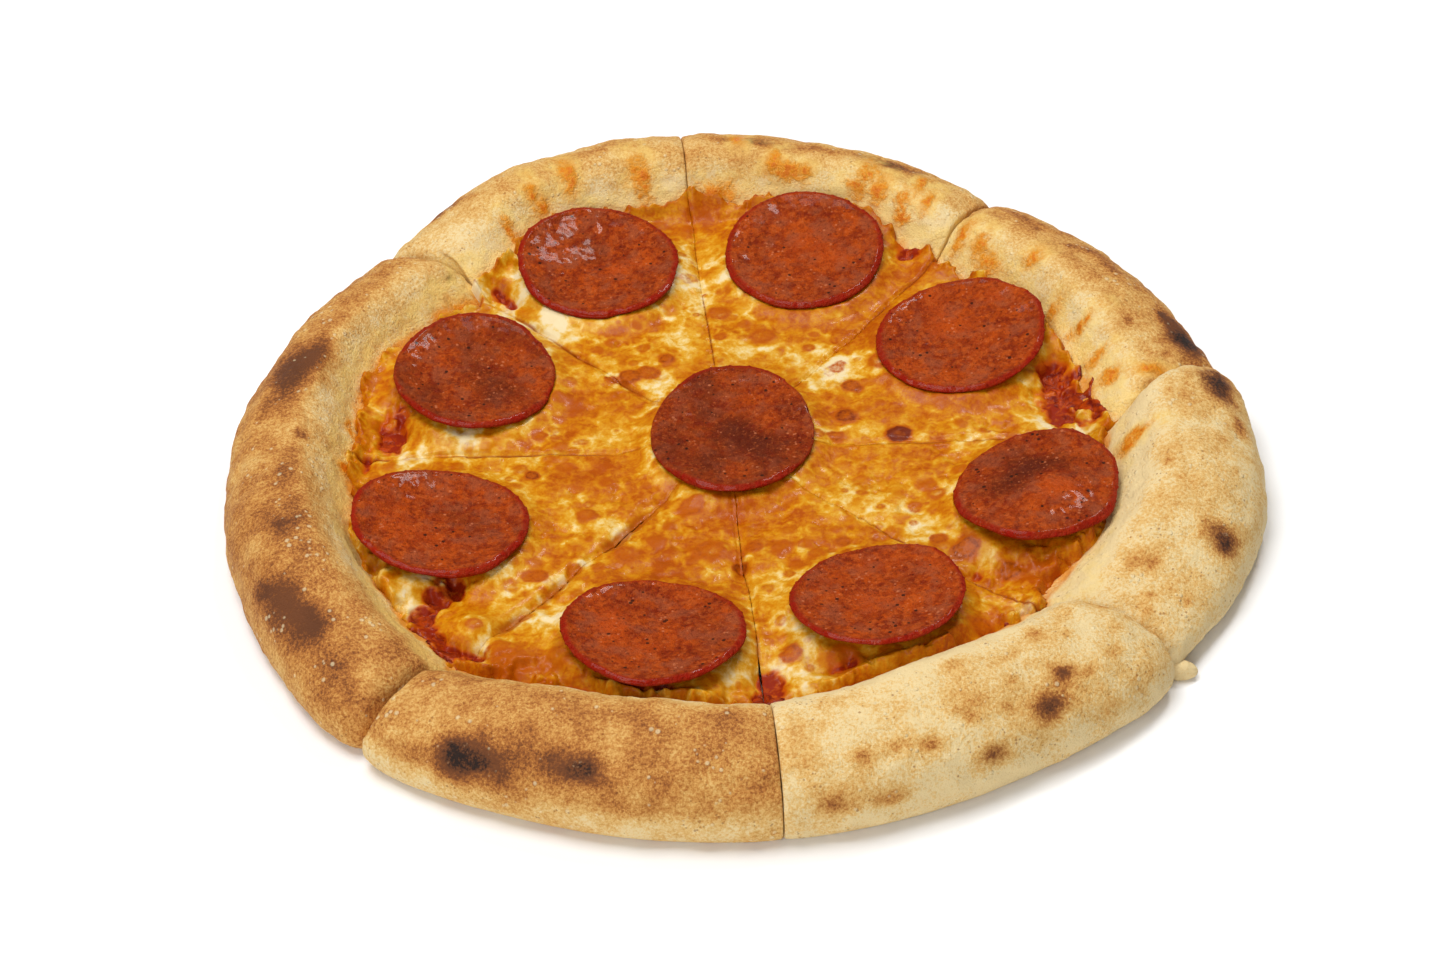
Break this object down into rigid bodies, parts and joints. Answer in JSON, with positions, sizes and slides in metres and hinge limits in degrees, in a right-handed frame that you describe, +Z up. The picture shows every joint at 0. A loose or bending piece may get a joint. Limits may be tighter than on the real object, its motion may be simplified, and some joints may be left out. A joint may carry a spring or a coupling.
{
  "type": "pepperoni pizza",
  "caption": "Round baked pizza with a puffed, scorched rim, melted cheese and pepperoni slices, cut into wedges that still lie together.",
  "frame": {"origin": "centre of the pizza's outline, on the surface it rests on", "axes": "+Z up; the pictured view looks along +Y from the -Y side, with +X to its right"},
  "size_m": [0.304, 0.3074, 0.0274],
  "materials": {
    "crust": "matte floury baked dough, pale cream to golden brown with dark scorched spots",
    "sauce": "wet dark red tomato sauce",
    "cheese": "oily melted cheese, cream and orange with browned blisters",
    "pepperoni": "oily red-brown cured sausage with a redder edge"
  },
  "bodies": {
    "root": {"crust_a": "crust", "crust_b": "crust", "crust_c": "crust", "crust_de": "crust", "crust_f": "crust", "crust_g": "crust", "crust_h": "crust", "sauce_a": "sauce", "sauce_b": "sauce", "sauce_c": "sauce", "sauce_d": "sauce", "sauce_e": "sauce", "sauce_f": "sauce", "sauce_g": "sauce", "sauce_h": "sauce", "cheese_a": "cheese", "cheese_b": "cheese", "cheese_c": "cheese", "cheese_d": "cheese", "cheese_e": "cheese", "cheese_f": "cheese", "cheese_g": "cheese", "cheese_h": "cheese", "pepperoni_a": "pepperoni", "pepperoni_b": "pepperoni", "pepperoni_c": "pepperoni", "pepperoni_d": "pepperoni", "pepperoni_e": "pepperoni", "pepperoni_f": "pepperoni", "pepperoni_g": "pepperoni", "pepperoni_h": "pepperoni", "pepperoni_centre": "pepperoni"}
  },
  "joints": []
}
